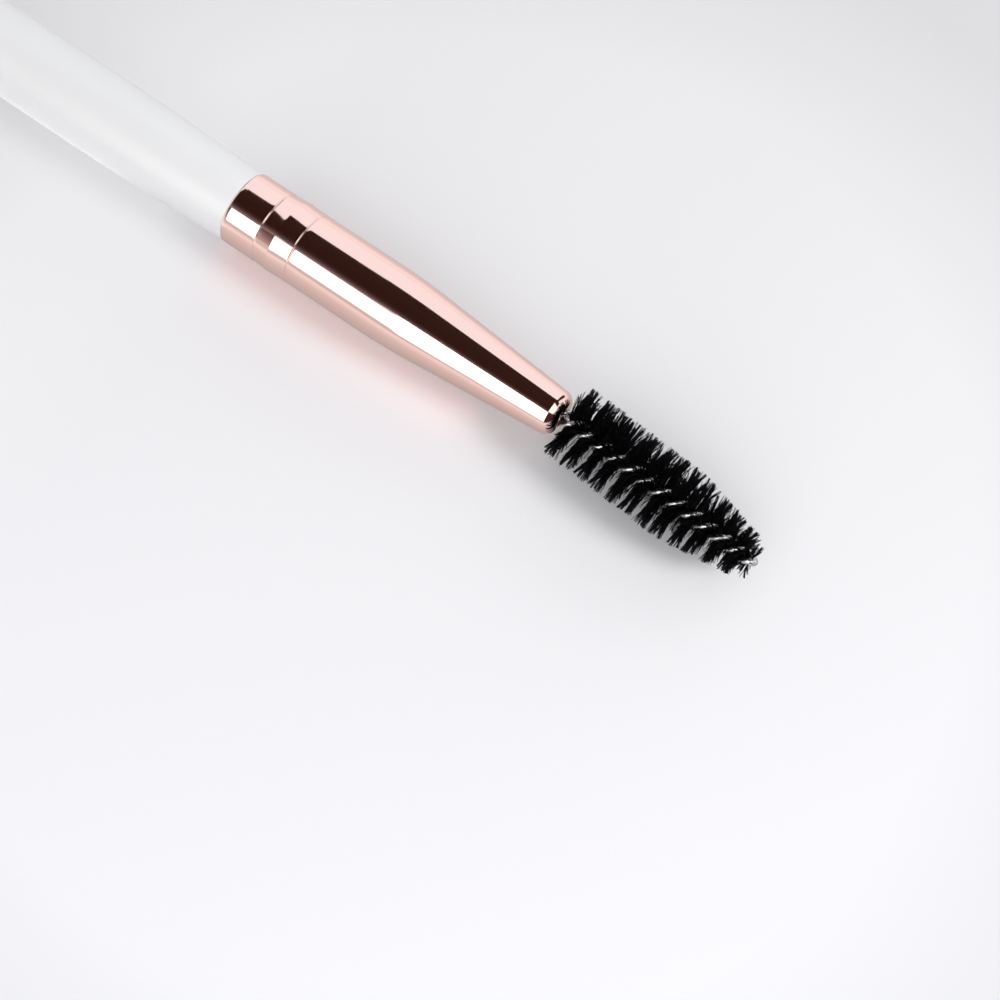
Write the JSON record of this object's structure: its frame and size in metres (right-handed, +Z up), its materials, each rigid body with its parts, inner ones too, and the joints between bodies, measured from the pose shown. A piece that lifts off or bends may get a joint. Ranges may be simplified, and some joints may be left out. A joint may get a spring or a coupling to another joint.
{
  "type": "eyebrow brush",
  "caption": "Grooming brush with a spiral bristle head on a twisted wire, a tapered metal ferrule and a slim white handle.",
  "frame": {"origin": "middle of the bounding box on the surface that the brush lies on", "axes": "+X along the brush towards the tip of the bristles, +Z up, +Y to the left seen from the handle's tail"},
  "size_m": [0.1748, 0.009, 0.0086],
  "materials": {
    "white_lacquer": "gloss lacquer",
    "rose_metal": "polished and tinted rose gold",
    "clear_glue": "cast resin",
    "steel_wire": "bright drawn wire",
    "black_nylon": "satin filaments"
  },
  "bodies": {
    "root": {"handle": "white_lacquer", "ferrule": "rose_metal", "glue_plug": "clear_glue", "twisted_wire": "steel_wire", "bristles": "black_nylon"}
  },
  "joints": []
}
